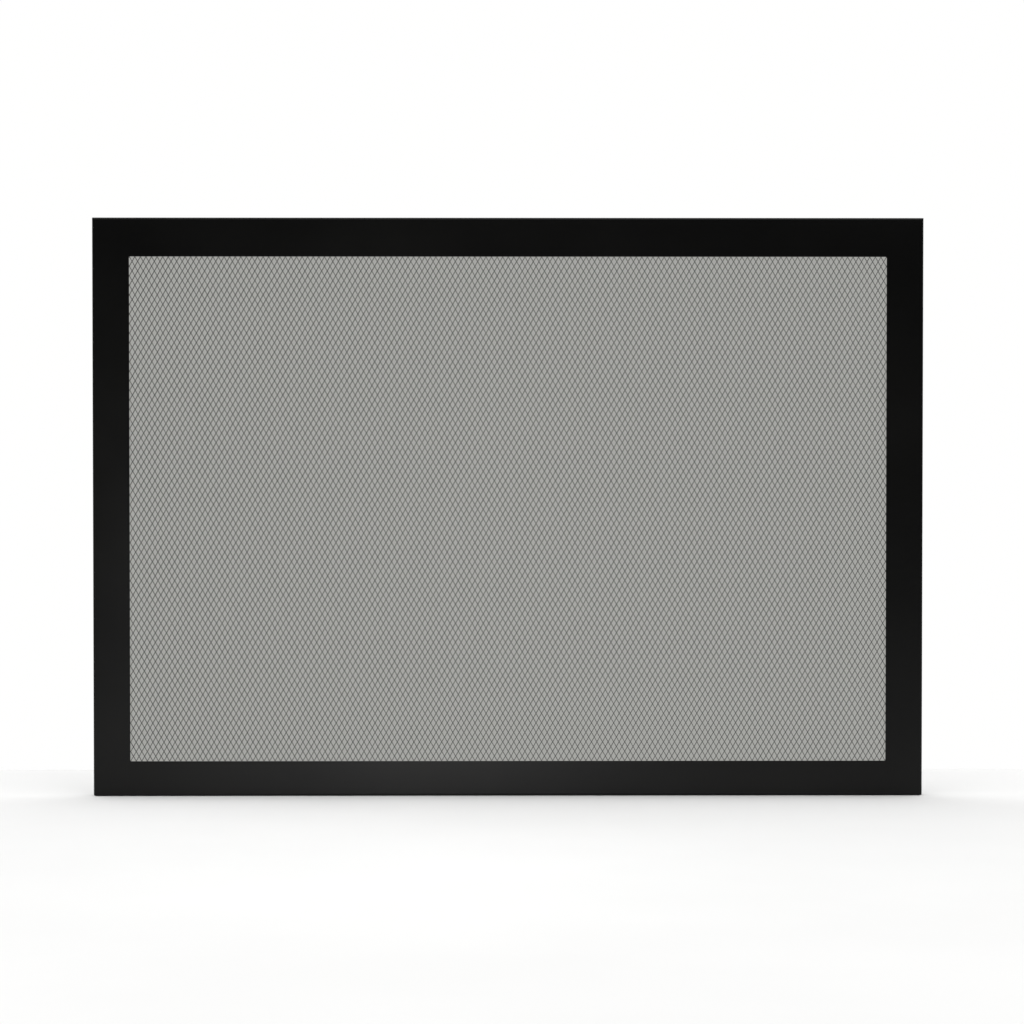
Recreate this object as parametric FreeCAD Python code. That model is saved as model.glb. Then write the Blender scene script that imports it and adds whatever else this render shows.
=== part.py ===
"""Fireplace screen: a flat steel frame round a sheet of expanded-metal mesh, hung on a fireplace face.

Four folded channel rails are mitred, welded and ground at the corners.  The mesh sheet lies against the
back of the faces, and four clamp strips hold its edges on weld studs with flange nuts, so that no fastener
shows in front.  Four riveted hooks hang the screen in slots, and four silicone bumpers keep it off the
fireplace face.

Units are millimetres.  +X is to the right seen from the front, +Y points to the back and +Z up.  The origin
is the middle of the four hooks, in the plane of the fireplace face that the bumpers rest on.
"""

import FreeCAD
import Part

import math
import os

Vector = FreeCAD.Vector
X_AXIS, Y_AXIS, Z_AXIS = Vector(1, 0, 0), Vector(0, 1, 0), Vector(0, 0, 1)

# --- Frame -----------------------------------------------------------------------------------------------
FRAME_WIDTH = 1003.3
FRAME_HEIGHT = 698.5
FRAME_DEPTH = 19.0
TOP_FACE = 47.0
BOTTOM_FACE = 41.9
SIDE_FACE = 44.45
SHEET = 1.5
BEND_RADIUS = 2.5  # outside radius of each fold
EDGE_BREAK = 0.4  # rounding of the cut edge round the window
TOP_CORNER_ROUND = 1.0  # the welded corners are ground a little
BOTTOM_CORNER_ROUND = 2.2
REAR_LIP = 18.0  # how far the channel's back lip turns in from the outer edge

# --- Mesh sheet ------------------------------------------------------------------------------------------
DIAMOND_WIDTH = 6.72  # between knuckles, across
DIAMOND_HEIGHT = 11.5  # between knuckles, upright
STRAND_WIDTH = 0.7
STRAND_THICKNESS = 0.8  # the two slants of strands lie one behind the other
SHORTEST_STRAND = 8.0  # shorter offcuts at the sheet's corners are left out

# --- Clamp strips, studs and nuts ------------------------------------------------------------------------
STRIP_WIDTH = 15.0
STRIP_THICKNESS = 2.5
STRIP_FROM_WINDOW = 11.0  # window edge to the strip's middle, before it moves onto a row of diamonds
STRIP_GAP = 0.5  # between the end of a side strip and the long strips
SHEET_MARGIN = 0.8  # how far the mesh sheet reaches past the strips
STUD_DIAMETER = 4.0
STUD_LENGTH = 9.0
STUD_SPACING = 150.0  # wanted; each stud then moves to the nearest diamond
STUD_HOLE_CLEARANCE = 0.5  # on the diameter
NUT_ACROSS_FLATS = 7.0
NUT_HEIGHT = 4.6
NUT_FLANGE_DIAMETER = 10.0
NUT_FLANGE_HEIGHT = 1.2
NUT_THREAD_CLEARANCE = 0.04  # on the diameter

# --- Corner gussets --------------------------------------------------------------------------------------
GUSSET_ARM = 80.0
GUSSET_FROM_EDGE = BEND_RADIUS + 0.5
GUSSET_TO_MESH = 0.6
GUSSET_CHAMFER = 6.0

# --- Hanging hooks and their rivets ----------------------------------------------------------------------
HOOK_SHEET = 2.0
HOOK_WIDTH = 15.0
HOOK_FLANGE = 34.0
HOOK_TAB = 26.0
HOOK_POCKET = 5.0  # clear gap between the tab and the back of the frame
HOOK_BEND_RADIUS = 3.0  # outside radius
HOOK_TIP_CHAMFER = 4.0
HOOK_FROM_END = 95.0  # top or bottom edge of the frame to the hook's step
RIVET_DIAMETER = 4.0
RIVET_HOLE_CLEARANCE = 0.1  # on the diameter
RIVET_HEAD_DIAMETER = 8.0
RIVET_HEAD_HEIGHT = 1.3
RIVET_BULB_DIAMETER = 6.4
RIVET_BULB_LENGTH = 5.0
RIVET_SPACING = 18.0

# --- Bumpers ---------------------------------------------------------------------------------------------
BUMPER_HEIGHT = 3.0
BUMPER_DIAMETER = 14.0
BUMPER_EDGE_ROUND = 1.0
BUMPER_STEM_DIAMETER = 5.0
BUMPER_BARB_DIAMETER = 7.0
BUMPER_BARB_LENGTH = 3.5
BUMPER_HOLE_CLEARANCE = 0.2  # on the diameter
BUMPER_FROM_SIDE = 140.0

# --- Places worked out from the sizes --------------------------------------------------------------------
HOOK_REACH = HOOK_POCKET + HOOK_SHEET
FRONT_Y = -FRAME_DEPTH - BUMPER_HEIGHT
FACE_BACK_Y = FRONT_Y + SHEET
FRAME_BACK_Y = FRONT_Y + FRAME_DEPTH
LIP_FRONT_Y = FRAME_BACK_Y - SHEET
MESH_THICKNESS = 2 * STRAND_THICKNESS
STRIP_FRONT_Y = FACE_BACK_Y + MESH_THICKNESS
STRIP_BACK_Y = STRIP_FRONT_Y + STRIP_THICKNESS

HALF_WIDTH = FRAME_WIDTH / 2
BOTTOM_Z = -FRAME_HEIGHT / 2
TOP_Z = FRAME_HEIGHT / 2
WINDOW_HALF_WIDTH = HALF_WIDTH - SIDE_FACE
WINDOW_BOTTOM = BOTTOM_Z + BOTTOM_FACE
WINDOW_TOP = TOP_Z - TOP_FACE
WINDOW_MIDDLE = (WINDOW_BOTTOM + WINDOW_TOP) / 2
WINDOW_HALF_HEIGHT = (WINDOW_TOP - WINDOW_BOTTOM) / 2


# --- Small helpers ---------------------------------------------------------------------------------------
def export(name, shapes):
    """Writes one node, which is one solid or a group of separate solids."""
    solids = [solid for shape in shapes for solid in shape.Solids]
    whole = solids[0] if len(solids) == 1 else Part.makeCompound(solids)
    whole.exportStep(os.path.join("parts", name + ".step"))


def box(x_low, x_high, y_low, y_high, z_low, z_high):
    corner = Vector(x_low, y_low, z_low)
    return Part.makeBox(x_high - x_low, y_high - y_low, z_high - z_low, corner)


def prism(points, direction):
    """Extrudes the closed outline through the points."""
    return Part.Face(Part.makePolygon([*points, points[0]])).extrude(direction)


def rod(diameter, x, z, y_low, y_high):
    """A round bar along Y."""
    return Part.makeCylinder(diameter / 2, y_high - y_low, Vector(x, y_low, z), Y_AXIS)


def spun(outline, x, y, z, backward=True):
    """Turns an outline of (radius, distance behind y) points about a line along Y."""
    sense = 1 if backward else -1
    points = [Vector(x + radius, y + sense * along, z) for radius, along in outline]
    face = Part.Face(Part.makePolygon([*points, points[0]]))
    return face.revolve(Vector(x, y, z), Y_AXIS, 360)


def line(start, end):
    return Part.LineSegment(start, end).toShape()


def arc(start, centre, end):
    """A quarter circle, or less, round the centre."""
    radius = start.distanceToPoint(centre)
    outward = (start - centre) + (end - centre)
    outward.normalize()
    return Part.Arc(start, centre + outward * radius, end).toShape()


# --- Where the diamonds are ------------------------------------------------------------------------------
def half_steps(distance, pitch):
    """The nearest whole number of half pitches."""
    return round(2 * distance / pitch)


def nearest_diamond(along, count_across, along_pitch):
    """The diamond centre nearest to a place along a row, where row number count_across sets the stagger."""
    shift = along_pitch / 2 if count_across % 2 else 0.0
    return round((along - shift) / along_pitch) * along_pitch + shift


STUD_ROW = half_steps(WINDOW_HALF_HEIGHT + STRIP_FROM_WINDOW, DIAMOND_HEIGHT)
STUD_COLUMN = half_steps(WINDOW_HALF_WIDTH + STRIP_FROM_WINDOW, DIAMOND_WIDTH)
STRIP_Z = STUD_ROW * DIAMOND_HEIGHT / 2  # above or below the window's middle
STRIP_X = STUD_COLUMN * DIAMOND_WIDTH / 2
MESH_HALF_WIDTH = STRIP_X + STRIP_WIDTH / 2 + SHEET_MARGIN
MESH_HALF_HEIGHT = STRIP_Z + STRIP_WIDTH / 2 + SHEET_MARGIN


def evenly(half_length, across_number, pitch):
    """Stud places along a strip, mirrored about its middle stud, each on a diamond."""
    spaces = max(1, round(2 * half_length / STUD_SPACING))
    wanted = [half_length * (1 - 2 * k / spaces) for k in range(spaces + 1)]
    right = [nearest_diamond(place, across_number, pitch) for place in wanted if place > pitch]
    middle = [nearest_diamond(0, across_number, pitch)] if spaces % 2 == 0 else []
    return sorted([-place for place in right] + middle + right)


STUDS_ALONG_X = evenly(WINDOW_HALF_WIDTH - STRIP_WIDTH, STUD_ROW, DIAMOND_WIDTH)
STUDS_ALONG_Z = evenly(WINDOW_HALF_HEIGHT - 2 * STRIP_WIDTH, STUD_COLUMN, DIAMOND_HEIGHT)


# --- Frame rails -----------------------------------------------------------------------------------------
def channel(start, along, inward, face_width):
    """A folded channel whose outer front corner runs from start along the vector along."""

    def place(in_from_edge, back_from_front):
        return start + inward * in_from_edge + Y_AXIS * back_from_front

    bend, sheet, depth, lip, edge = BEND_RADIUS, SHEET, FRAME_DEPTH, REAR_LIP, EDGE_BREAK
    outline = [
        line(place(bend, 0), place(face_width - edge, 0)),
        arc(place(face_width - edge, 0), place(face_width - edge, edge), place(face_width, edge)),
        line(place(face_width, edge), place(face_width, sheet)),
        line(place(face_width, sheet), place(bend, sheet)),
        arc(place(bend, sheet), place(bend, bend), place(sheet, bend)),
        line(place(sheet, bend), place(sheet, depth - bend)),
        arc(place(sheet, depth - bend), place(bend, depth - bend), place(bend, depth - sheet)),
        line(place(bend, depth - sheet), place(lip, depth - sheet)),
        line(place(lip, depth - sheet), place(lip, depth)),
        line(place(lip, depth), place(bend, depth)),
        arc(place(bend, depth), place(bend, depth - bend), place(0, depth - bend)),
        line(place(0, depth - bend), place(0, bend)),
        arc(place(0, bend), place(bend, bend), place(bend, 0)),
    ]
    return Part.Face(Part.Wire(outline)).extrude(along)


def ground_block():
    """The frame's outer box with its four corners ground round."""
    block = box(-HALF_WIDTH, HALF_WIDTH, FRONT_Y, FRAME_BACK_Y, BOTTOM_Z, TOP_Z)
    for end, radius in ((TOP_Z, TOP_CORNER_ROUND), (BOTTOM_Z, BOTTOM_CORNER_ROUND)):
        corners = [
            edge
            for edge in block.Edges
            if edge.Length < FRAME_DEPTH + 1 and all(abs(v.Z - end) < 0.01 for v in edge.Vertexes)
        ]
        block = block.makeFillet(radius, corners)
    return block


def mitred(rail, outer_ends, inner_ends):
    """Trims a rail to its mitre lines and to the ground corners."""
    outline = [Vector(x, FRONT_Y, z) for x, z in (*outer_ends, *reversed(inner_ends))]
    return rail.common(prism(outline, Y_AXIS * FRAME_DEPTH)).common(ground_block())


def frame_rails():
    left, right = -HALF_WIDTH, HALF_WIDTH
    window = {"left": -WINDOW_HALF_WIDTH, "right": WINDOW_HALF_WIDTH}
    across, upright = X_AXIS * FRAME_WIDTH, Z_AXIS * FRAME_HEIGHT

    top = channel(Vector(left, FRONT_Y, TOP_Z), across, -Z_AXIS, TOP_FACE)
    bottom = channel(Vector(left, FRONT_Y, BOTTOM_Z), across, Z_AXIS, BOTTOM_FACE)
    left_side = channel(Vector(left, FRONT_Y, BOTTOM_Z), upright, X_AXIS, SIDE_FACE)
    right_side = channel(Vector(right, FRONT_Y, BOTTOM_Z), upright, -X_AXIS, SIDE_FACE)
    return {
        "top_rail": mitred(
            top,
            [(left, TOP_Z), (right, TOP_Z)],
            [(window["left"], WINDOW_TOP), (window["right"], WINDOW_TOP)],
        ),
        "bottom_rail": mitred(
            bottom,
            [(left, BOTTOM_Z), (right, BOTTOM_Z)],
            [(window["left"], WINDOW_BOTTOM), (window["right"], WINDOW_BOTTOM)],
        ),
        "left_stile": mitred(
            left_side,
            [(left, BOTTOM_Z), (left, TOP_Z)],
            [(window["left"], WINDOW_BOTTOM), (window["left"], WINDOW_TOP)],
        ),
        "right_stile": mitred(
            right_side,
            [(right, BOTTOM_Z), (right, TOP_Z)],
            [(window["right"], WINDOW_BOTTOM), (window["right"], WINDOW_TOP)],
        ),
    }


# --- Corner gussets --------------------------------------------------------------------------------------
def gusset(side, up):
    """An L-shaped plate welded behind a mitre.  side is -1 or 1, and up is False for the bottom corners."""
    edge_x, edge_z = side * HALF_WIDTH, TOP_Z if up else BOTTOM_Z
    face = TOP_FACE if up else BOTTOM_FACE
    mesh_edge = WINDOW_HALF_HEIGHT + face - MESH_HALF_HEIGHT
    arm_height = mesh_edge - GUSSET_FROM_EDGE - GUSSET_TO_MESH
    arm_width = HALF_WIDTH - MESH_HALF_WIDTH - GUSSET_FROM_EDGE - GUSSET_TO_MESH
    rise = -1 if up else 1

    def place(across, away):
        return Vector(
            edge_x - side * (GUSSET_FROM_EDGE + across),
            FACE_BACK_Y,
            edge_z + rise * (GUSSET_FROM_EDGE + away),
        )

    outline = [
        place(GUSSET_CHAMFER, 0),
        place(GUSSET_ARM, 0),
        place(GUSSET_ARM, arm_height),
        place(arm_width, arm_height),
        place(arm_width, GUSSET_ARM),
        place(0, GUSSET_ARM),
        place(0, GUSSET_CHAMFER),
    ]
    return prism(outline, Y_AXIS * SHEET)


# --- Mesh sheet ------------------------------------------------------------------------------------------
def mesh_strands():
    """Both slants of strands, trimmed to the sheet's edges and cut round a stud too wide for its diamond."""
    slope = DIAMOND_HEIGHT / DIAMOND_WIDTH
    slant = math.atan(slope)
    reach = math.hypot(MESH_HALF_WIDTH, MESH_HALF_HEIGHT)
    highest = MESH_HALF_HEIGHT + slope * MESH_HALF_WIDTH
    lines = int(highest / DIAMOND_HEIGHT) + 1
    studs = [place for places in stud_places().values() for place in places]
    hole = STUD_DIAMETER + STUD_HOLE_CLEARANCE
    strands = []
    for layer, lean in enumerate((-1, 1)):
        front = FACE_BACK_Y + layer * STRAND_THICKNESS
        sheet = box(
            -MESH_HALF_WIDTH,
            MESH_HALF_WIDTH,
            front,
            front + STRAND_THICKNESS,
            WINDOW_MIDDLE - MESH_HALF_HEIGHT,
            WINDOW_MIDDLE + MESH_HALF_HEIGHT,
        )
        for number in range(-lines, lines):
            crossing = WINDOW_MIDDLE + (number + 0.5) * DIAMOND_HEIGHT
            foot = Vector(0, 0, crossing)
            along = Vector(math.cos(slant), 0, lean * math.sin(slant))
            aside = Vector(-lean * math.sin(slant), 0, math.cos(slant))
            nearest = foot + along * ((Vector(0, 0, WINDOW_MIDDLE) - foot) * along)
            corners = [
                nearest + along * (end * reach) + aside * (edge * STRAND_WIDTH / 2) + Y_AXIS * front
                for end, edge in ((-1, -1), (1, -1), (1, 1), (-1, 1))
            ]
            strand = prism(corners, Y_AXIS * STRAND_THICKNESS).common(sheet)
            length = strand.Volume / (STRAND_WIDTH * STRAND_THICKNESS)
            if length < SHORTEST_STRAND:
                continue
            for x, z in studs:
                if abs((Vector(x, 0, z) - nearest) * aside) < (STRAND_WIDTH + hole) / 2:
                    strand = strand.cut(rod(hole, x, z, front, front + STRAND_THICKNESS))
            strands.append(strand)
    return strands


# --- Clamp strips, studs and nuts ------------------------------------------------------------------------
def stud_places():
    """The (x, z) of each stud, by the side of the frame that it is on."""
    return {
        "top": [(x, WINDOW_MIDDLE + STRIP_Z) for x in STUDS_ALONG_X],
        "bottom": [(x, WINDOW_MIDDLE - STRIP_Z) for x in STUDS_ALONG_X],
        "left": [(-STRIP_X, WINDOW_MIDDLE + z) for z in STUDS_ALONG_Z],
        "right": [(STRIP_X, WINDOW_MIDDLE + z) for z in STUDS_ALONG_Z],
    }


def clamp_strip(side, places):
    half = STRIP_WIDTH / 2
    if side in ("top", "bottom"):
        middle = places[0][1]
        x_low, x_high, z_low, z_high = -STRIP_X - half, STRIP_X + half, middle - half, middle + half
    else:
        middle = places[0][0]
        reach = STRIP_Z - half - STRIP_GAP
        x_low, x_high = middle - half, middle + half
        z_low, z_high = WINDOW_MIDDLE - reach, WINDOW_MIDDLE + reach
    strip = box(x_low, x_high, STRIP_FRONT_Y, STRIP_BACK_Y, z_low, z_high)
    hole = STUD_DIAMETER + STUD_HOLE_CLEARANCE
    for x, z in places:
        strip = strip.cut(rod(hole, x, z, STRIP_FRONT_Y, STRIP_BACK_Y))
    return strip


def stud(x, z):
    chamfer = STUD_DIAMETER / 8
    radius = STUD_DIAMETER / 2
    outline = [
        (0, 0),
        (radius, 0),
        (radius, STUD_LENGTH - chamfer),
        (radius - chamfer, STUD_LENGTH),
        (0, STUD_LENGTH),
    ]
    return spun(outline, x, FACE_BACK_Y, z)


def flange_nut(x, z):
    """A hexagon nut on a round flange, its flange against the clamp strip."""
    corner_radius = NUT_ACROSS_FLATS / math.sqrt(3)
    corners = [
        Vector(
            x + corner_radius * math.cos(math.radians(60 * k)),
            STRIP_BACK_Y + NUT_FLANGE_HEIGHT,
            z + corner_radius * math.sin(math.radians(60 * k)),
        )
        for k in range(6)
    ]
    hexagon = prism(corners, Y_AXIS * (NUT_HEIGHT - NUT_FLANGE_HEIGHT))
    crown = NUT_ACROSS_FLATS / 2
    chamfer = corner_radius - crown
    rounding = spun(
        [
            (0, 0),
            (corner_radius, 0),
            (corner_radius, NUT_HEIGHT - chamfer),
            (crown, NUT_HEIGHT),
            (0, NUT_HEIGHT),
        ],
        x,
        STRIP_BACK_Y,
        z,
    )
    flange = rod(NUT_FLANGE_DIAMETER, x, z, STRIP_BACK_Y, STRIP_BACK_Y + NUT_FLANGE_HEIGHT)
    bore = rod(STUD_DIAMETER + NUT_THREAD_CLEARANCE, x, z, STRIP_BACK_Y, STRIP_BACK_Y + NUT_HEIGHT)
    return hexagon.common(rounding).fuse(flange).cut(bore).removeSplitter()


# --- Hanging hooks and rivets ----------------------------------------------------------------------------
HOOK_X = REAR_LIP / 2  # in from the frame's outer edge
HOOK_STEPS = {"upper": TOP_Z - HOOK_FROM_END, "lower": BOTTOM_Z + HOOK_FROM_END}
RIVETS_ABOVE_STEP = [
    HOOK_FLANGE / 2 + HOOK_SHEET / 2 - RIVET_SPACING / 2,
    HOOK_FLANGE / 2 + HOOK_SHEET / 2 + RIVET_SPACING / 2,
]


def hook(side, step_z):
    """A Z-shaped hook: a flange riveted to the lip, a step back, and a tab that points down."""
    centre_x = side * (HALF_WIDTH - HOOK_X)
    outer, inner = HOOK_BEND_RADIUS, HOOK_BEND_RADIUS - HOOK_SHEET
    back, sheet = HOOK_REACH, HOOK_SHEET

    def place(behind, above):
        return Vector(centre_x - HOOK_WIDTH / 2, FRAME_BACK_Y + behind, step_z + above)

    outline = [
        line(place(0, outer), place(0, HOOK_FLANGE)),
        line(place(0, HOOK_FLANGE), place(sheet, HOOK_FLANGE)),
        line(place(sheet, HOOK_FLANGE), place(sheet, outer)),
        arc(place(sheet, outer), place(outer, outer), place(outer, sheet)),
        line(place(outer, sheet), place(back - outer, sheet)),
        arc(place(back - outer, sheet), place(back - outer, sheet - outer), place(back, sheet - outer)),
        line(place(back, sheet - outer), place(back, -HOOK_TAB)),
        line(place(back, -HOOK_TAB), place(back - sheet, -HOOK_TAB)),
        line(place(back - sheet, -HOOK_TAB), place(back - sheet, -inner)),
        arc(place(back - sheet, -inner), place(back - outer, -inner), place(back - outer, 0)),
        line(place(back - outer, 0), place(outer, 0)),
        arc(place(outer, 0), place(outer, outer), place(0, outer)),
    ]
    plate = Part.Face(Part.Wire(outline)).extrude(X_AXIS * HOOK_WIDTH)
    for edge in (-1, 1):
        tip = Vector(centre_x + edge * HOOK_WIDTH / 2, FRAME_BACK_Y, step_z - HOOK_TAB)
        corner = [tip, tip + Z_AXIS * HOOK_TIP_CHAMFER, tip - X_AXIS * (edge * HOOK_TIP_CHAMFER)]
        plate = plate.cut(prism(corner, Y_AXIS * HOOK_REACH))
    for above in RIVETS_ABOVE_STEP:
        plate = plate.cut(rivet_hole(centre_x, step_z + above, FRAME_BACK_Y, FRAME_BACK_Y + HOOK_SHEET))
    return plate


def rivet_hole(x, z, y_low, y_high):
    return rod(RIVET_DIAMETER + RIVET_HOLE_CLEARANCE, x, z, y_low, y_high)


def rivet(x, z):
    """A set blind rivet: domed head on the hook, shank through hook and lip, bulb inside the channel."""
    head, shank, bulb = RIVET_HEAD_DIAMETER / 2, RIVET_DIAMETER / 2, RIVET_BULB_DIAMETER / 2
    grip = HOOK_SHEET + SHEET
    outline = [
        (0, -RIVET_HEAD_HEIGHT),
        (head * 0.45, -RIVET_HEAD_HEIGHT),
        (head * 0.8, -RIVET_HEAD_HEIGHT * 0.7),
        (head, -RIVET_HEAD_HEIGHT * 0.2),
        (head, 0),
        (shank, 0),
        (shank, grip),
        (bulb, grip),
        (bulb, grip + RIVET_BULB_LENGTH * 0.55),
        (shank, grip + RIVET_BULB_LENGTH),
        (0, grip + RIVET_BULB_LENGTH),
    ]
    return spun(outline, x, FRAME_BACK_Y + HOOK_SHEET, z, backward=False)


# --- Bumpers ---------------------------------------------------------------------------------------------
BUMPER_X = HALF_WIDTH - BUMPER_FROM_SIDE
BUMPER_Z = {"upper": TOP_Z - REAR_LIP / 2, "lower": BOTTOM_Z + REAR_LIP / 2}


def bumper(x, z):
    """A round pad behind the lip, with a stem and a barb that snap into the lip's hole."""
    pad, stem, barb = BUMPER_DIAMETER / 2, BUMPER_STEM_DIAMETER / 2, BUMPER_BARB_DIAMETER / 2
    outline = [
        (0, -BUMPER_HEIGHT),
        (pad - BUMPER_EDGE_ROUND, -BUMPER_HEIGHT),
        (pad, -BUMPER_HEIGHT + BUMPER_EDGE_ROUND),
        (pad, 0),
        (stem, 0),
        (stem, SHEET),
        (barb, SHEET),
        (stem * 0.6, SHEET + BUMPER_BARB_LENGTH),
        (0, SHEET + BUMPER_BARB_LENGTH),
    ]
    return spun(outline, x, FRAME_BACK_Y, z, backward=False)


def bumper_hole(x, z):
    return rod(BUMPER_STEM_DIAMETER + BUMPER_HOLE_CLEARANCE, x, z, LIP_FRONT_Y, FRAME_BACK_Y)


# --- Assembly --------------------------------------------------------------------------------------------
def build():
    os.makedirs("parts", exist_ok=True)
    sides = {"left": -1, "right": 1}
    rails = frame_rails()

    for side, sign in sides.items():
        hook_x = sign * (HALF_WIDTH - HOOK_X)
        for level, step_z in HOOK_STEPS.items():
            rivet_places = [(hook_x, step_z + above) for above in RIVETS_ABOVE_STEP]
            for x, z in rivet_places:
                rails[side + "_stile"] = rails[side + "_stile"].cut(
                    rivet_hole(x, z, LIP_FRONT_Y, FRAME_BACK_Y)
                )
            export(f"{level}_{side}_hook", [hook(sign, step_z)])
            export(f"{level}_{side}_hook_rivets", [rivet(x, z) for x, z in rivet_places])

        for level, z in BUMPER_Z.items():
            rail = "top_rail" if level == "upper" else "bottom_rail"
            rails[rail] = rails[rail].cut(bumper_hole(sign * BUMPER_X, z))
            export(f"{level}_{side}_bumper", [bumper(sign * BUMPER_X, z)])

        for level, up in (("top", True), ("bottom", False)):
            export(f"{level}_{side}_gusset", [gusset(sign, up)])

    for name, rail in rails.items():
        export(name, [rail])

    for side, places in stud_places().items():
        export(side + "_clamp_strip", [clamp_strip(side, places)])
        export(side + "_weld_studs", [stud(x, z) for x, z in places])
        export(side + "_flange_nuts", [flange_nut(x, z) for x, z in places])

    export("mesh_sheet", mesh_strands())


build()
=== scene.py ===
"""A fireplace screen as it leaves the workshop: satin black steel frame, charcoal expanded mesh, and the
clamps, studs, hooks and bumpers behind.  Metres, +X right, +Y back, +Z up, seen from the front."""

import bpy
import math

import numpy as np
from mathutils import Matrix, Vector


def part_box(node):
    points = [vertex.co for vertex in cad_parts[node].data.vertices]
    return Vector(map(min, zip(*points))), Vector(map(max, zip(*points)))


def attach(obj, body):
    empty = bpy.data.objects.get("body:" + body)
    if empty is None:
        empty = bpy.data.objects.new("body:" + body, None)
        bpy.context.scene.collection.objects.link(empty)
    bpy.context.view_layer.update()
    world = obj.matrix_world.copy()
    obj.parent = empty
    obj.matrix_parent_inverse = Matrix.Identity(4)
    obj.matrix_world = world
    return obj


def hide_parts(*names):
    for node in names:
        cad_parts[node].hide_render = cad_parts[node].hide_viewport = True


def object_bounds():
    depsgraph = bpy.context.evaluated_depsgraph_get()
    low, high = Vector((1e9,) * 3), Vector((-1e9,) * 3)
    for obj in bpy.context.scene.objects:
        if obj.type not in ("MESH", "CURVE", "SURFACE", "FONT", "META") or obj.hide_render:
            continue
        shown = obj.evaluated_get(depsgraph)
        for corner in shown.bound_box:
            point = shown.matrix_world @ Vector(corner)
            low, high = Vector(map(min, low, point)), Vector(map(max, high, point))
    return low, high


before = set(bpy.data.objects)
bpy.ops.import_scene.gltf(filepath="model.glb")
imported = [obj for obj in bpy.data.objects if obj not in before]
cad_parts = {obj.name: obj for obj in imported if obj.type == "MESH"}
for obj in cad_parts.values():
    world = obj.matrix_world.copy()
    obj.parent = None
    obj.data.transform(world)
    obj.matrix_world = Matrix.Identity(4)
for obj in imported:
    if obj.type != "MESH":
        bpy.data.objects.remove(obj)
cad_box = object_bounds()


# --- Frame rails -----------------------------------------------------------------------------------------
# Four channels folded from 1.5 mm sheet steel, mitred at the corners, welded and ground smooth.
# The whole frame is powder coated satin black: a very dark skin with a fine orange-peel texture.
RAILS = ("top_rail", "bottom_rail", "left_stile", "right_stile")
COAT_DEEP = (0.0042, 0.0042, 0.0041, 1)
COAT_FACE = (0.0070, 0.0070, 0.0066, 1)
COAT_SMOOTH = 0.28
COAT_ROUGH = 0.31
COAT_SHINE = 0.16  # specular level, where a usual paint has about 0.5
COAT_TONE_PATCHES = 5.0  # per metre
COAT_SHEEN_PATCHES = 28.0  # per metre
COAT_ORANGE_PEEL = 700.0  # bumps per metre
COAT_BUMP_HEIGHT = 0.00004
DUST = (0.060, 0.057, 0.052, 1)
DUST_ON_COAT = 0.24  # share of the colour, on a face that looks straight up
DUST_PATCHES = 60.0  # per metre
DUST_STAYS_ABOVE = 0.35  # how much a face has to look up before dust stays on it
DUST_THINNEST = 0.2  # share of the dust that is left where it is thinnest


def finish_on(material_name):
    """A new material, its node tree, its shader, and the point that its textures are measured from."""
    material = bpy.data.materials.new(material_name)
    material.use_nodes = True
    tree = material.node_tree
    shader = tree.nodes["Principled BSDF"]
    point = tree.nodes.new("ShaderNodeTexCoord").outputs["Object"]
    return material, tree, shader, point


def mottle(tree, point, per_metre, detail=3.0, roughness=0.55):
    """Soft random patches, about 0.3 to 0.7."""
    noise = tree.nodes.new("ShaderNodeTexNoise")
    noise.inputs["Scale"].default_value = per_metre
    noise.inputs["Detail"].default_value = detail
    noise.inputs["Roughness"].default_value = roughness
    tree.links.new(point, noise.inputs["Vector"])
    return noise.outputs["Fac"]


def between(tree, amount, low, high, at_low=0.3, at_high=0.7):
    """A value, or a colour, that goes from low to high as amount goes from at_low to at_high."""
    if isinstance(low, tuple):
        ramp = tree.nodes.new("ShaderNodeValToRGB")
        for stop, place, colour in zip(ramp.color_ramp.elements, (at_low, at_high), (low, high)):
            stop.position, stop.color = place, colour
        tree.links.new(amount, ramp.inputs["Fac"])
        return ramp.outputs["Color"]
    spread = tree.nodes.new("ShaderNodeMapRange")
    for socket, number in zip(("From Min", "From Max", "To Min", "To Max"), (at_low, at_high, low, high)):
        spread.inputs[socket].default_value = number
    tree.links.new(amount, spread.inputs["Value"])
    return spread.outputs["Result"]


def raise_grain(tree, shader, height, depth):
    """Fine relief from a pattern, depth metres tall."""
    bump = tree.nodes.new("ShaderNodeBump")
    bump.inputs["Strength"].default_value = 1.0
    bump.inputs["Distance"].default_value = depth
    tree.links.new(height, bump.inputs["Height"])
    tree.links.new(bump.outputs["Normal"], shader.inputs["Normal"])


def mix_colours(tree, amount, at_none, at_full):
    """A mix of two colours, each of them plain or from another node."""
    mixed = tree.nodes.new("ShaderNodeMix")
    mixed.data_type = "RGBA"
    first_colour, second_colour, result = mixed.inputs[6], mixed.inputs[7], mixed.outputs[2]
    tree.links.new(amount, mixed.inputs["Factor"])
    for socket, colour in ((first_colour, at_none), (second_colour, at_full)):
        if isinstance(colour, tuple):
            socket.default_value = colour
        else:
            tree.links.new(colour, socket)
    return result


def settle_dust(tree, point, coat_colour, most):
    """Thin patchy dust over a colour, where the surface faces up."""
    facing = tree.nodes.new("ShaderNodeSeparateXYZ")
    tree.links.new(tree.nodes.new("ShaderNodeNewGeometry").outputs["Normal"], facing.inputs["Vector"])
    upward = between(tree, facing.outputs["Z"], 0.0, most, DUST_STAYS_ABOVE, 1.0)
    patchy = tree.nodes.new("ShaderNodeMath")
    patchy.operation = "MULTIPLY"
    tree.links.new(upward, patchy.inputs[0])
    thickness = between(tree, mottle(tree, point, DUST_PATCHES, detail=6.0), DUST_THINNEST, 1.0)
    tree.links.new(thickness, patchy.inputs[1])
    return mix_colours(tree, patchy.outputs["Value"], coat_colour, DUST)


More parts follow.
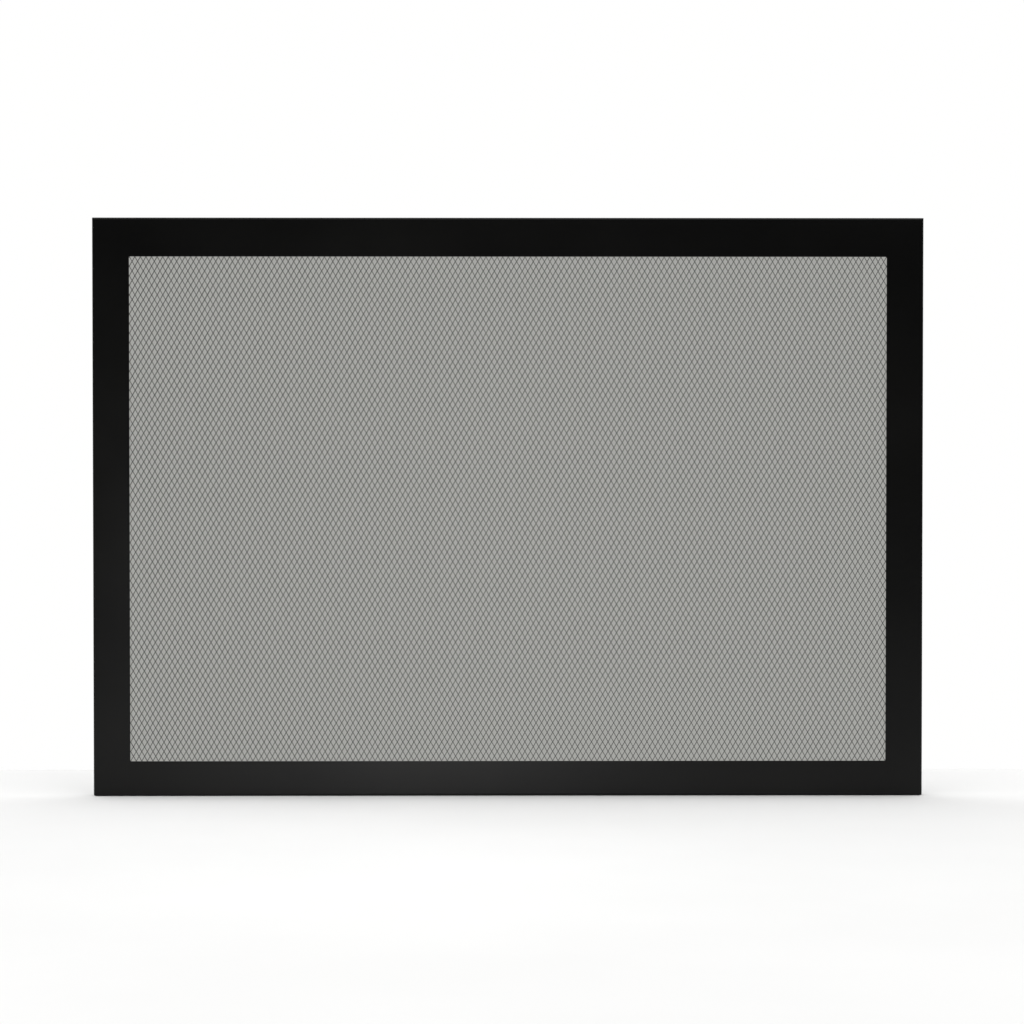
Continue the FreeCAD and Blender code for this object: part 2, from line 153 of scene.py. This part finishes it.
def lay_on(tree, shader, colour, sheen, grain, grain_height):
    """Gives a finish its colour, its roughness and its fine relief."""
    tree.links.new(colour, shader.inputs["Base Color"])
    tree.links.new(sheen, shader.inputs["Roughness"])
    raise_grain(tree, shader, grain, grain_height)


def powder_coat(material_name, deep, face, smooth, rough):
    """Baked powder: two near blacks in soft patches, a little dust where it looks up, and orange peel."""
    material, tree, shader, point = finish_on(material_name)
    colour = between(tree, mottle(tree, point, COAT_TONE_PATCHES, detail=1.0), deep, face)
    colour = settle_dust(tree, point, colour, DUST_ON_COAT)
    sheen = between(tree, mottle(tree, point, COAT_SHEEN_PATCHES, detail=2.0), smooth, rough)
    orange_peel = mottle(tree, point, COAT_ORANGE_PEEL, detail=2.0)
    lay_on(tree, shader, colour, sheen, orange_peel, COAT_BUMP_HEIGHT)
    shader.inputs["Specular IOR Level"].default_value = COAT_SHINE
    return material


def give(node, material):
    """Puts a finish on a CAD node."""
    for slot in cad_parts[node].material_slots:
        slot.material = material


satin_black_coat = powder_coat("satin_black_coat", COAT_DEEP, COAT_FACE, COAT_SMOOTH, COAT_ROUGH)
for rail in RAILS:
    give(rail, satin_black_coat)


# --- Corner gussets and welds ----------------------------------------------------------------------------
# L-shaped plates of the same sheet, welded behind each mitre and coated with the frame.
# The mitres of the back lips are closed by a bead of weld that is left as it was laid.
GUSSETS = [f"{level}_{side}_gusset" for level in ("top", "bottom") for side in ("left", "right")]
BEAD_WIDTH = 0.0034
BEAD_HEIGHT = 0.0008
BEAD_RIPPLE = 0.0012
BEAD_FROM_CORNER = 0.0035  # in from the corner each way, to where the bead starts
BEAD_TO_LIP_EDGE = 0.0176  # in from the corner each way, to where it ends
BEAD_FACETS = 12
RINGS_PER_RIPPLE = 6
RIPPLE_SWELL = 0.10
BEAD_TAPER = 0.7  # length of each tapered end, in bead widths
BEAD_END = 0.02  # how blunt the ends stay
BEAD_WANDER = 0.00015
WANDER_RATE = 700  # radians per metre
CRESCENT = 0.0003  # how far each ripple bows along the bead

for gusset in GUSSETS:
    give(gusset, satin_black_coat)


def new_piece(piece_name, vertices, faces, material, slot):
    """A mesh object that rides on the frame."""
    mesh = bpy.data.meshes.new(piece_name)
    mesh.from_pydata([tuple(v) for v in vertices], [], [tuple(f) for f in faces])
    mesh.validate()
    mesh.materials.append(material)
    piece = bpy.data.objects.new(piece_name, mesh)
    bpy.context.scene.collection.objects.link(piece)
    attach(piece, "root")
    return piece


def round_off(piece, degrees=40):
    """Smooth shading, with edges sharper than the angle left crisp."""
    piece.data.shade_smooth()
    piece.data.set_sharp_from_angle(angle=math.radians(degrees))


def closed_rings(rings):
    """Vertices and faces of a closed skin over rings of points, capped at both ends."""
    count, around = len(rings), len(rings[0])
    vertices = [point for ring in rings for point in ring]
    faces = [
        (
            row * around + k,
            row * around + (k + 1) % around,
            (row + 1) * around + (k + 1) % around,
            (row + 1) * around + k,
        )
        for row in range(count - 1)
        for k in range(around)
    ]
    faces.append(tuple(reversed(range(around))))
    faces.append(tuple((count - 1) * around + k for k in range(around)))
    return vertices, faces


def weld_bead(start, end):
    """A rippled bead on the back of the lip, from start to end."""
    along = (end - start).normalized()
    aside = along.cross(Vector((0, 1, 0)))
    length = (end - start).length
    steps = int(length / (BEAD_RIPPLE / RINGS_PER_RIPPLE))
    rings = []
    for step in range(steps + 1):
        travel = length * step / steps
        from_end = min(travel, length - travel)
        fade = min(1.0, math.sqrt(max(BEAD_END, from_end / (BEAD_WIDTH * BEAD_TAPER))))
        ripple = 1 + RIPPLE_SWELL * math.sin(math.tau * travel / BEAD_RIPPLE)
        wander = BEAD_WANDER * math.sin(travel * WANDER_RATE)
        ring = []
        for k in range(BEAD_FACETS):
            angle = math.tau * k / BEAD_FACETS
            across = math.cos(angle) * BEAD_WIDTH / 2 * fade * ripple
            out = math.sin(angle) * BEAD_HEIGHT * fade * ripple
            lean = -CRESCENT * math.sin(angle)
            ring.append(start + along * (travel + lean) + aside * (across + wander) + Vector((0, out, 0)))
        rings.append(ring)
    return closed_rings(rings)


for gusset in GUSSETS:
    rail_low, rail_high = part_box("top_rail" if "top" in gusset else "bottom_rail")
    side = -1 if "left" in gusset else 1
    rise = 1 if "top" in gusset else -1
    corner = Vector((cad_box[1].x * side, rail_high.y, rail_high.z if rise > 0 else rail_low.z))
    inward = Vector((-side, 0, -rise))
    bead = weld_bead(corner + inward * BEAD_FROM_CORNER, corner + inward * BEAD_TO_LIP_EDGE)
    weld = new_piece(gusset.replace("gusset", "mitre_weld"), *bead, satin_black_coat, "gusset")
    round_off(weld, degrees=60)


# --- Mesh sheet ------------------------------------------------------------------------------------------
# One sheet of steel, slit and stretched until the slits open into upright diamonds, and left unflattened,
# so every knuckle is turned and each fine strand leans.  It is sprayed charcoal black, a little dusty.
DIAMOND_WIDTH = 0.00672
DIAMOND_HEIGHT = 0.0115
STRAND_GAUGE = 0.0008
KNUCKLE_HALF_WIDTH = 0.0005
KNUCKLE_HALF_HEIGHT = 0.00066  # to the ends of the slits above and below
KNUCKLE_SHOULDER = 0.00012
KNUCKLE_TURN = 0.0004  # how far its two sides stand in front and behind
PAINT_DARK = (0.030, 0.030, 0.029, 1)
PAINT_LIGHT = (0.062, 0.061, 0.058, 1)
PAINT_SMOOTH = 0.42
PAINT_ROUGH = 0.6
PAINT_TONE_PATCHES = 45.0  # per metre
PAINT_SHEEN_PATCHES = 160.0  # per metre
PAINT_GRAIN = 1500.0  # bumps per metre
PAINT_GRAIN_HEIGHT = 0.00003
DUST_ON_MESH = 0.35
SHEET_WIDTHS = 3  # the sheet is drawn in three widths that meet edge to edge

mesh_low, mesh_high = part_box("mesh_sheet")
mesh_middle = (mesh_low + mesh_high) / 2


def knuckle_points(column, row):
    """Front points of one knuckle: slit ends above and below, then its left and right shoulders."""
    x = column * DIAMOND_WIDTH / 2
    z = mesh_middle.z + row * DIAMOND_HEIGHT / 2
    y = mesh_low.y + KNUCKLE_TURN
    side, end, shoulder, turn = KNUCKLE_HALF_WIDTH, KNUCKLE_HALF_HEIGHT, KNUCKLE_SHOULDER, KNUCKLE_TURN
    return [
        (x, y, z + end),
        (x, y, z - end),
        (x - side, y - turn, z + shoulder),
        (x - side, y - turn, z - shoulder),
        (x + side, y + turn, z + shoulder),
        (x + side, y + turn, z - shoulder),
    ]


KNUCKLE_POINTS = 6
ABOVE, BELOW, LEFT_UP, LEFT_DOWN, RIGHT_UP, RIGHT_DOWN = range(KNUCKLE_POINTS)
last_column = int((mesh_high.x - KNUCKLE_HALF_WIDTH) / (DIAMOND_WIDTH / 2))
last_row = int(((mesh_high.z - mesh_low.z) / 2 - KNUCKLE_HALF_HEIGHT) / (DIAMOND_HEIGHT / 2))
knuckles = {
    (column, row): number
    for number, (column, row) in enumerate(
        (column, row)
        for column in range(-last_column, last_column + 1)
        for row in range(-last_row, last_row + 1)
        if (column + row) % 2
    )
}
front_points = np.array([point for place in knuckles for point in knuckle_points(*place)])


def expanded_width(first_column, end_column):
    """Vertices and faces of the part of the sheet whose knuckles are in these columns."""
    fronts = []
    for (column, row), number in knuckles.items():
        if not first_column <= column < end_column:
            continue
        own = number * KNUCKLE_POINTS
        fronts.append((own + ABOVE, own + LEFT_UP, own + LEFT_DOWN, own + BELOW))
        fronts.append((own + ABOVE, own + BELOW, own + RIGHT_DOWN, own + RIGHT_UP))
        if (column + 1, row + 1) in knuckles:
            next_up = knuckles[column + 1, row + 1] * KNUCKLE_POINTS
            fronts.append((own + ABOVE, own + RIGHT_UP, next_up + BELOW, next_up + LEFT_DOWN))
        if (column + 1, row - 1) in knuckles:
            next_down = knuckles[column + 1, row - 1] * KNUCKLE_POINTS
            fronts.append((own + BELOW, next_down + LEFT_UP, next_down + ABOVE, own + RIGHT_DOWN))
    used, fronts = np.unique(np.array(fronts), return_inverse=True)
    fronts = fronts.reshape(-1, 4)
    count = len(used)
    starts, ends = fronts.ravel(), np.roll(fronts, -1, axis=1).ravel()
    lone = ~np.isin(starts * count + ends, ends * count + starts)
    starts, ends = starts[lone], ends[lone]
    cut_edges = np.stack([ends, starts, starts + count, ends + count], axis=1)
    backs = fronts[:, ::-1] + count
    points = front_points[used]
    vertices = np.concatenate([points, points + (0, STRAND_GAUGE, 0)])
    return vertices, np.concatenate([fronts, backs, cut_edges])


mesh_paint, paint_tree, paint_shader, paint_point = finish_on("charcoal_mesh_paint")
paint_colour = mottle(paint_tree, paint_point, PAINT_TONE_PATCHES, detail=6.0)
paint_colour = between(paint_tree, paint_colour, PAINT_DARK, PAINT_LIGHT)
paint_colour = settle_dust(paint_tree, paint_point, paint_colour, DUST_ON_MESH)
paint_sheen = mottle(paint_tree, paint_point, PAINT_SHEEN_PATCHES)
paint_sheen = between(paint_tree, paint_sheen, PAINT_SMOOTH, PAINT_ROUGH)
paint_grain = mottle(paint_tree, paint_point, PAINT_GRAIN, detail=2.0)
lay_on(paint_tree, paint_shader, paint_colour, paint_sheen, paint_grain, PAINT_GRAIN_HEIGHT)

for width in range(SHEET_WIDTHS):
    span = 2 * last_column + 1
    first, end = (-last_column + span * (width + step) // SHEET_WIDTHS for step in (0, 1))
    vertices, faces = expanded_width(first, end)
    mesh_part = new_piece(f"mesh_sheet_width_{width + 1}", vertices, faces, mesh_paint, "mesh")
    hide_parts("mesh_sheet")


# --- Clamp strips ----------------------------------------------------------------------------------------
# Flat steel strips with a hole for each stud.  They pinch the edge of the mesh against the frame.
# They are painted black before they are fitted, so they are a little scuffed.
STRIP_PAINT = (0.010, 0.010, 0.0095, 1)
STRIP_SCUFFED = (0.026, 0.025, 0.024, 1)
STRIP_SMOOTH = 0.32
STRIP_ROUGH = 0.5
STRIP_SCUFFS = 90.0  # per metre
STRIP_SHEEN_PATCHES = 40.0  # per metre
STRIP_GRAIN = 500.0  # bumps per metre
STRIP_GRAIN_HEIGHT = 0.00004
DUST_ON_STRIP = 0.6

strip_paint, strip_tree, strip_shader, strip_point = finish_on("scuffed_strip_paint")
strip_colour = mottle(strip_tree, strip_point, STRIP_SCUFFS, detail=8.0, roughness=0.7)
strip_colour = between(strip_tree, strip_colour, STRIP_PAINT, STRIP_SCUFFED, at_low=0.45, at_high=0.75)
strip_colour = settle_dust(strip_tree, strip_point, strip_colour, DUST_ON_STRIP)
strip_sheen = mottle(strip_tree, strip_point, STRIP_SHEEN_PATCHES, detail=5.0)
strip_sheen = between(strip_tree, strip_sheen, STRIP_SMOOTH, STRIP_ROUGH)
strip_grain = mottle(strip_tree, strip_point, STRIP_GRAIN, detail=3.0)
lay_on(strip_tree, strip_shader, strip_colour, strip_sheen, strip_grain, STRIP_GRAIN_HEIGHT)
for edge in ("top", "bottom", "left", "right"):
    give(edge + "_clamp_strip", strip_paint)


# --- Weld studs ------------------------------------------------------------------------------------------
# M4 coppered steel studs, shot onto the back of the faces so that nothing shows in front.
# The threads were masked when the frame was coated, so they keep their copper colour.
STUD_RADIUS = 0.002
THREAD_PITCH = 0.0007
THREAD_DEPTH = 0.00038
STUD_CHAMFER = 0.0005
RINGS_PER_TURN = 6
STUD_FACETS = 20
COPPER_BRIGHT = (0.50, 0.27, 0.17, 1)
COPPER_DULL = (0.30, 0.17, 0.12, 1)
METAL_TONE_PATCHES = 320.0  # per metre
METAL_SHEEN_PATCHES = 700.0  # per metre
METAL_GRAIN = 2500.0  # bumps per metre
METAL_GRAIN_HEIGHT = 0.00001
ONE_PIECE = 0.01  # points nearer each other than this belong to the same stud or rivet


def solid_middles(node, apart):
    """The (x, z) middle of each separate solid in a CAD node."""
    points = np.array([v.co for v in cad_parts[node].data.vertices])
    middles = []
    while len(points):
        near = np.hypot(points[:, 0] - points[0, 0], points[:, 2] - points[0, 2]) < apart
        group = points[near]
        across, upright = group[:, 0], group[:, 2]
        middles.append(((across.min() + across.max()) / 2, (upright.min() + upright.max()) / 2))
        points = points[~near]
    return middles


def threaded_stud(x, z, front, back):
    """A stud along Y, with a cut thread and a chamfered tip."""
    rings = []
    count = round((back - front) / THREAD_PITCH * RINGS_PER_TURN)
    for step in range(count + 1):
        y = front + (back - front) * step / count
        from_tip = back - y
        tip = min(1.0, 1 - (STUD_CHAMFER - from_tip) / STUD_RADIUS) if from_tip < STUD_CHAMFER else 1.0
        ring = []
        for k in range(STUD_FACETS):
            turn = k / STUD_FACETS
            phase = ((y - front) / THREAD_PITCH - turn) % 1.0
            groove = THREAD_DEPTH * abs(2 * phase - 1)
            radius = min(STUD_RADIUS * tip, STUD_RADIUS - groove)
            angle = -math.tau * turn
            ring.append((x + radius * math.cos(angle), y, z + radius * math.sin(angle)))
        rings.append(ring)
    return closed_rings(rings)


def joined(shapes):
    """One set of vertices and faces from several."""
    vertices, faces = [], []
    for shape_vertices, shape_faces in shapes:
        faces.extend([tuple(index + len(vertices) for index in face) for face in shape_faces])
        vertices.extend(shape_vertices)
    return vertices, faces


def metal(material_name, bright, dull, smooth, rough):
    """Bare or plated metal, duller in small patches, with a faint grain."""
    material, tree, shader, point = finish_on(material_name)
    shader.inputs["Metallic"].default_value = 1.0
    colour = between(tree, mottle(tree, point, METAL_TONE_PATCHES, detail=5.0), dull, bright)
    sheen = between(tree, mottle(tree, point, METAL_SHEEN_PATCHES, detail=3.0), smooth, rough)
    lay_on(tree, shader, colour, sheen, mottle(tree, point, METAL_GRAIN, detail=2.0), METAL_GRAIN_HEIGHT)
    return material


coppered_steel = metal("coppered_steel", COPPER_BRIGHT, COPPER_DULL, smooth=0.28, rough=0.5)
for edge in ("top", "bottom", "left", "right"):
    node = edge + "_weld_studs"
    low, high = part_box(node)
    studs = joined([threaded_stud(x, z, low.y, high.y) for x, z in solid_middles(node, ONE_PIECE)])
    stud_row = new_piece(edge + "_threaded_studs", *studs, coppered_steel, "stud")
    round_off(stud_row)
    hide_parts(node)


# --- Flange nuts -----------------------------------------------------------------------------------------
# M4 hexagon nuts with a round flange, zinc plated, one on each stud.
# The plating is a pale grey, darker and a little warmer in small patches, with a soft shine.
ZINC_BRIGHT = (0.66, 0.66, 0.64, 1)
ZINC_DULL = (0.46, 0.46, 0.43, 1)

zinc_plate = metal("zinc_plate", ZINC_BRIGHT, ZINC_DULL, smooth=0.24, rough=0.42)
for edge in ("top", "bottom", "left", "right"):
    give(edge + "_flange_nuts", zinc_plate)


# --- Hanging hooks ---------------------------------------------------------------------------------------
# Four Z-shaped hooks bent from 2 mm steel.  The flange is riveted to the frame's back lip,
# and the tab drops into a slot in the fireplace face.  The same kind of coat as the frame, a little rougher.
CORNERS = [f"{level}_{side}" for level in ("upper", "lower") for side in ("left", "right")]
HOOK_DEEP = (0.006, 0.006, 0.0058, 1)
HOOK_FACE = (0.014, 0.0138, 0.013, 1)

hook_coat = powder_coat("hook_coat", HOOK_DEEP, HOOK_FACE, smooth=0.3, rough=0.46)
for corner in CORNERS:
    give(corner + "_hook", hook_coat)


# --- Hook rivets -----------------------------------------------------------------------------------------
# Steel blind rivets, two for each hook.  The head is a low dome with the snapped pin sunk in its middle,
# and the pulled end swells into a bulb inside the channel.
RIVET_FACETS = 36
RIVET_HEAD = 0.004
RIVET_HEAD_HEIGHT = 0.0013
RIVET_HEAD_EDGE = 0.00025  # the straight rim under the dome
RIVET_SHANK = 0.002
RIVET_GRIP = 0.0035  # the hook's flange and the lip together
RIVET_BULB = 0.0032
RIVET_BULB_LENGTH = 0.005
PIN_RADIUS = 0.0011
BULB_STEPS = 8
DOME_STEPS = 10  # from the rim to the top of a full dome
DOME_POINTS = 8  # how many are left, because the pin sits in the middle
HOOK_SHEET = 0.002
TURNED_TIP = 0.00002  # radius where an outline meets the line that it turns about
RIVET_BRIGHT = (0.58, 0.57, 0.55, 1)
RIVET_DULL = (0.36, 0.35, 0.33, 1)


def turned(outline, x, z, facets):
    """A closed round piece about a line along Y, from an outline of (radius, y) points, end to end."""
    rings = []
    for radius, y in outline:
        reach = max(radius, TURNED_TIP)
        angles = [-math.tau * k / facets for k in range(facets)]
        rings.append([(x + reach * math.cos(a), y, z + reach * math.sin(a)) for a in angles])
    return closed_rings(rings)


def rivet_outline(seat):
    """From inside the channel to the head.  seat is where the head meets the hook."""
    grip_end = seat - RIVET_GRIP
    nose = RIVET_SHANK * 0.5
    swell = [
        (
            nose + (RIVET_BULB - nose) * math.sin(math.pi / 2 * k / BULB_STEPS),
            grip_end - RIVET_BULB_LENGTH * (1 - k / BULB_STEPS * 0.75),
        )
        for k in range(BULB_STEPS + 1)
    ]
    dome_foot = seat + RIVET_HEAD_EDGE
    dome_height = RIVET_HEAD_HEIGHT - RIVET_HEAD_EDGE
    dome = [
        (
            RIVET_HEAD * math.cos(math.pi / 2 * k / DOME_STEPS),
            dome_foot + dome_height * math.sin(math.pi / 2 * k / DOME_STEPS),
        )
        for k in range(DOME_POINTS)
    ]
    pin = [
        (PIN_RADIUS * 1.25, seat + RIVET_HEAD_HEIGHT * 0.97),
        (PIN_RADIUS * 1.05, seat + RIVET_HEAD_HEIGHT * 0.72),
        (PIN_RADIUS, seat + RIVET_HEAD_HEIGHT * 0.45),
        (PIN_RADIUS * 0.9, seat + RIVET_HEAD_HEIGHT * 0.47),
        (PIN_RADIUS * 0.4, seat + RIVET_HEAD_HEIGHT * 0.6),
        (0, seat + RIVET_HEAD_HEIGHT * 0.58),
    ]
    shank = [(RIVET_BULB, grip_end), (RIVET_SHANK, grip_end), (RIVET_SHANK, seat), (RIVET_HEAD, seat)]
    return [*swell, *shank, *dome, *pin]


bare_rivet_steel = metal("bare_rivet_steel", RIVET_BRIGHT, RIVET_DULL, smooth=0.3, rough=0.5)
for corner in CORNERS:
    node = corner + "_hook_rivets"
    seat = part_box(corner + "_hook")[0].y + HOOK_SHEET
    shapes = [turned(rivet_outline(seat), x, z, RIVET_FACETS) for x, z in solid_middles(node, ONE_PIECE)]
    rivets = new_piece(corner + "_domed_rivets", *joined(shapes), bare_rivet_steel, "rivet")
    round_off(rivets)
    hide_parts(node)


# --- Bumpers ---------------------------------------------------------------------------------------------
# Moulded black silicone buttons that snap into holes in the back lip and keep the frame off the hot face.
# A rounded pad with a shallow dish in the middle, and a barbed stem inside the channel.
BUMPER_FACETS = 48
PAD_RADIUS = 0.007
PAD_ROUND = 0.0012
PAD_DISH = 0.0008
PAD_CHAMFER = 0.0003
STEM_RADIUS = 0.0025
BARB_RADIUS = 0.0035
BARB_EDGE = 0.0003
LIP_SHEET = 0.0015
RIM_STEPS = 8
WHOLE_BUMPER = 0.02  # points nearer each other than this belong to the same bumper
SILICONE_DARK = (0.012, 0.012, 0.012, 1)
SILICONE_LIGHT = (0.024, 0.0235, 0.023, 1)
SILICONE_SMOOTH = 0.55
SILICONE_ROUGH = 0.75
SILICONE_TONE_PATCHES = 250.0  # per metre
SILICONE_SHEEN_PATCHES = 500.0  # per metre
SILICONE_GRAIN = 3000.0  # bumps per metre
SILICONE_GRAIN_HEIGHT = 0.00002
DUST_ON_SILICONE = 0.6

silicone, silicone_tree, silicone_shader, silicone_point = finish_on("moulded_silicone")
silicone_colour = mottle(silicone_tree, silicone_point, SILICONE_TONE_PATCHES, detail=4.0)
silicone_colour = between(silicone_tree, silicone_colour, SILICONE_DARK, SILICONE_LIGHT)
silicone_colour = settle_dust(silicone_tree, silicone_point, silicone_colour, DUST_ON_SILICONE)
silicone_sheen = mottle(silicone_tree, silicone_point, SILICONE_SHEEN_PATCHES)
silicone_sheen = between(silicone_tree, silicone_sheen, SILICONE_SMOOTH, SILICONE_ROUGH)
silicone_grain = mottle(silicone_tree, silicone_point, SILICONE_GRAIN, detail=2.0)
lay_on(silicone_tree, silicone_shader, silicone_colour, silicone_sheen, silicone_grain, SILICONE_GRAIN_HEIGHT)


def bumper_outline(low, high):
    """From the barb's nose to the middle of the pad."""
    lip_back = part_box("top_rail")[1].y
    lip_front = lip_back - LIP_SHEET
    rim = [
        (
            PAD_RADIUS - PAD_ROUND + PAD_ROUND * math.cos(math.pi / 2 * k / RIM_STEPS),
            high - PAD_ROUND + PAD_ROUND * math.sin(math.pi / 2 * k / RIM_STEPS),
        )
        for k in range(RIM_STEPS + 1)
    ]
    dish = [
        (PAD_RADIUS * 0.62, high),
        (PAD_RADIUS * 0.58, high - PAD_DISH * 0.12),
        (PAD_RADIUS * 0.54, high - PAD_DISH * 0.8),
        (PAD_RADIUS * 0.48, high - PAD_DISH),
        (0, high - PAD_DISH),
    ]
    return [
        (0, low),
        (STEM_RADIUS * 0.5, low + 0.0001),
        (STEM_RADIUS * 0.7, low + 0.0006),
        (BARB_RADIUS, lip_front - BARB_EDGE),
        (BARB_RADIUS, lip_front),
        (STEM_RADIUS, lip_front),
        (STEM_RADIUS, lip_back),
        (PAD_RADIUS - PAD_CHAMFER, lip_back),
        (PAD_RADIUS, lip_back + PAD_CHAMFER),
        *rim,
        *dish,
    ]


for corner in CORNERS:
    node = corner + "_bumper"
    low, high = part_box(node)
    ((x, z),) = solid_middles(node, WHOLE_BUMPER)
    shape = turned(bumper_outline(low.y, high.y), x, z, BUMPER_FACETS)
    button = new_piece(corner + "_silicone_button", *shape, silicone, "bumper")
    round_off(button)
    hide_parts(node)


# --- Floor, card and light -------------------------------------------------------------------------------
# The studio, which is no part of the screen: a pale floor, a grey card far behind that the mesh is seen
# against, soft boxes above, beside and low in front, and a lamp on the floor.  The camera sees white all
# round, while the light that falls on the screen is dim in front and brighter behind and above.
FLOOR_PALE = (0.84, 0.84, 0.835, 1)
FLOOR_PALER = (0.86, 0.86, 0.855, 1)
FLOOR_PATCHES = 3.0  # per metre
FLOOR_ROUGH = 0.9
FLOOR_DROP = 0.0005
FLOOR_FRONT = -1.45
FLOOR_BACK = 0.25
FLOOR_SIDE = 8.0
CARD_GREY = (0.377, 0.378, 0.359, 1)  # it glows by itself, so it has one tone all over
CARD_BEHIND = 3.4
CARD_LEFT = -0.982
CARD_RIGHT = 0.994
CARD_LOW = -1.30
CARD_HIGH = 0.564
ORIGIN = (0, 0, 0)
WIDE = math.pi
NARROW = math.radians(40)
SOFT_BOXES = (  # name, place, aim, size, watts, spread
    ("overhead_soft_box", (0, 0.2, 2.4), ORIGIN, (3.0, 2.4), 3, WIDE),
    ("left_soft_box", (-2.6, 0.3, 1.3), ORIGIN, (1.4, 1.8), 4, WIDE),
    ("right_soft_box", (2.6, 0.6, 1.1), ORIGIN, (1.4, 1.8), 4, WIDE),
    ("low_front_soft_box", (-0.14, -1.45, -0.17), (-0.09, -0.02, -0.10), (0.46, 0.16), 0.38, NARROW),
)
FLOOR_LAMP_FROM = (-0.10, -0.75, 2.1)
FLOOR_LAMP_AIM = (-0.08, -0.12, -0.35)
FLOOR_LAMP_WATTS = 7
FLOOR_LAMP_CONE = math.radians(44)
FLOOR_LAMP_RADIUS = 0.2
SEEN_WHITE = (1.0, 1.0, 0.997, 1)
LIGHT_IN_FRONT = 0.025
LIGHT_BEHIND = 0.62
LIGHT_ABOVE = (1.32, 1.32, 1.32, 1)
FRONT_TO_BACK = (-0.55, 0.35)  # Y of the directions between which the light grows towards the back
SIDE_TO_ABOVE = (0.3, 0.6)  # Z of the directions between which it becomes the light from above

floor_paint, floor_tree, floor_shader, floor_point = finish_on("pale_floor")
floor_tone = between(floor_tree, mottle(floor_tree, floor_point, FLOOR_PATCHES), FLOOR_PALE, FLOOR_PALER)
floor_tree.links.new(floor_tone, floor_shader.inputs["Base Color"])
floor_shader.inputs["Roughness"].default_value = FLOOR_ROUGH
floor_shader.inputs["Specular IOR Level"].default_value = 0.0
floor_level = cad_box[0].z - FLOOR_DROP


def flat_stage(stage_name, corners, material):
    """A flat sheet of the studio, which isn't part of the screen."""
    mesh = bpy.data.meshes.new(stage_name)
    mesh.from_pydata(corners, [], [(0, 1, 2, 3)])
    mesh.materials.append(material)
    sheet = bpy.data.objects.new(stage_name, mesh)
    bpy.context.scene.collection.objects.link(sheet)


floor_ends = (
    (-FLOOR_SIDE, FLOOR_FRONT),
    (FLOOR_SIDE, FLOOR_FRONT),
    (FLOOR_SIDE, FLOOR_BACK),
    (-FLOOR_SIDE, FLOOR_BACK),
)
flat_stage("floor", [(x, y, floor_level) for x, y in floor_ends], floor_paint)

card_grey = bpy.data.materials.new("card_grey")
card_grey.use_nodes = True
card_glow = card_grey.node_tree.nodes.new("ShaderNodeEmission")
card_glow.inputs["Color"].default_value = CARD_GREY
card_surface = card_grey.node_tree.nodes["Material Output"].inputs["Surface"]
card_grey.node_tree.links.new(card_glow.outputs["Emission"], card_surface)
card_ends = ((CARD_LEFT, CARD_LOW), (CARD_RIGHT, CARD_LOW), (CARD_RIGHT, CARD_HIGH), (CARD_LEFT, CARD_HIGH))
flat_stage("card", [(x, CARD_BEHIND, z) for x, z in card_ends], card_grey)


def aimed(lamp_name, light, watts, place, aim):
    """Sets up a lamp that the camera doesn't see."""
    light.energy = watts
    lamp = bpy.data.objects.new(lamp_name, light)
    lamp.location = place
    lamp.rotation_euler = (Vector(aim) - Vector(place)).to_track_quat("-Z", "Y").to_euler()
    lamp.visible_camera = False
    bpy.context.scene.collection.objects.link(lamp)


for box_name, place, aim, size, watts, spread in SOFT_BOXES:
    soft_box = bpy.data.lights.new(box_name, "AREA")
    soft_box.shape = "RECTANGLE"
    soft_box.size, soft_box.size_y = size
    soft_box.spread = spread
    aimed(box_name, soft_box, watts, place, aim)

floor_lamp = bpy.data.lights.new("floor_pool", "SPOT")
floor_lamp.spot_size = FLOOR_LAMP_CONE
floor_lamp.spot_blend = 1.0
floor_lamp.shadow_soft_size = FLOOR_LAMP_RADIUS
aimed("floor_pool", floor_lamp, FLOOR_LAMP_WATTS, FLOOR_LAMP_FROM, FLOOR_LAMP_AIM)

studio = bpy.data.worlds.new("studio")
bpy.context.scene.world = studio
studio.use_nodes = True
studio_tree = studio.node_tree
sky = studio_tree.nodes["Background"]
direction = studio_tree.nodes.new("ShaderNodeSeparateXYZ")
every_way = studio_tree.nodes.new("ShaderNodeTexCoord").outputs["Generated"]
studio_tree.links.new(every_way, direction.inputs["Vector"])
level_light = between(studio_tree, direction.outputs["Y"], LIGHT_IN_FRONT, LIGHT_BEHIND, *FRONT_TO_BACK)
upward = between(studio_tree, direction.outputs["Z"], 0.0, 1.0, *SIDE_TO_ABOVE)
lighting = mix_colours(studio_tree, upward, level_light, LIGHT_ABOVE)
seen = studio_tree.nodes.new("ShaderNodeLightPath").outputs["Is Camera Ray"]
studio_tree.links.new(mix_colours(studio_tree, seen, lighting, SEEN_WHITE), sky.inputs["Color"])


# --- Camera ----------------------------------------------------------------------------------------------
# Almost straight in front of the screen, from a little over three metres, and a touch above its middle.
# The lens is chosen so that the picture spans a set width at the screen's front.
CAMERA_PLACE = (-0.02, -3.222, 0.060)
CAMERA_AIM = (0.0045, -0.022, -0.0058)
VIEW_WIDTH = 1.2375  # how much of the screen's plane the picture spans
SENSOR_WIDTH = 36.0  # millimetres

camera_lens = bpy.data.cameras.new("camera")
camera_lens.sensor_width = SENSOR_WIDTH
camera_lens.lens = SENSOR_WIDTH * (Vector(CAMERA_AIM) - Vector(CAMERA_PLACE)).length / VIEW_WIDTH
camera = bpy.data.objects.new("camera", camera_lens)
camera.location = CAMERA_PLACE
camera.rotation_euler = (Vector(CAMERA_AIM) - Vector(CAMERA_PLACE)).to_track_quat("-Z", "Y").to_euler()
bpy.context.scene.collection.objects.link(camera)
bpy.context.scene.camera = camera
bpy.context.scene.view_settings.view_transform = "Standard"
bpy.context.scene.view_settings.look = "None"
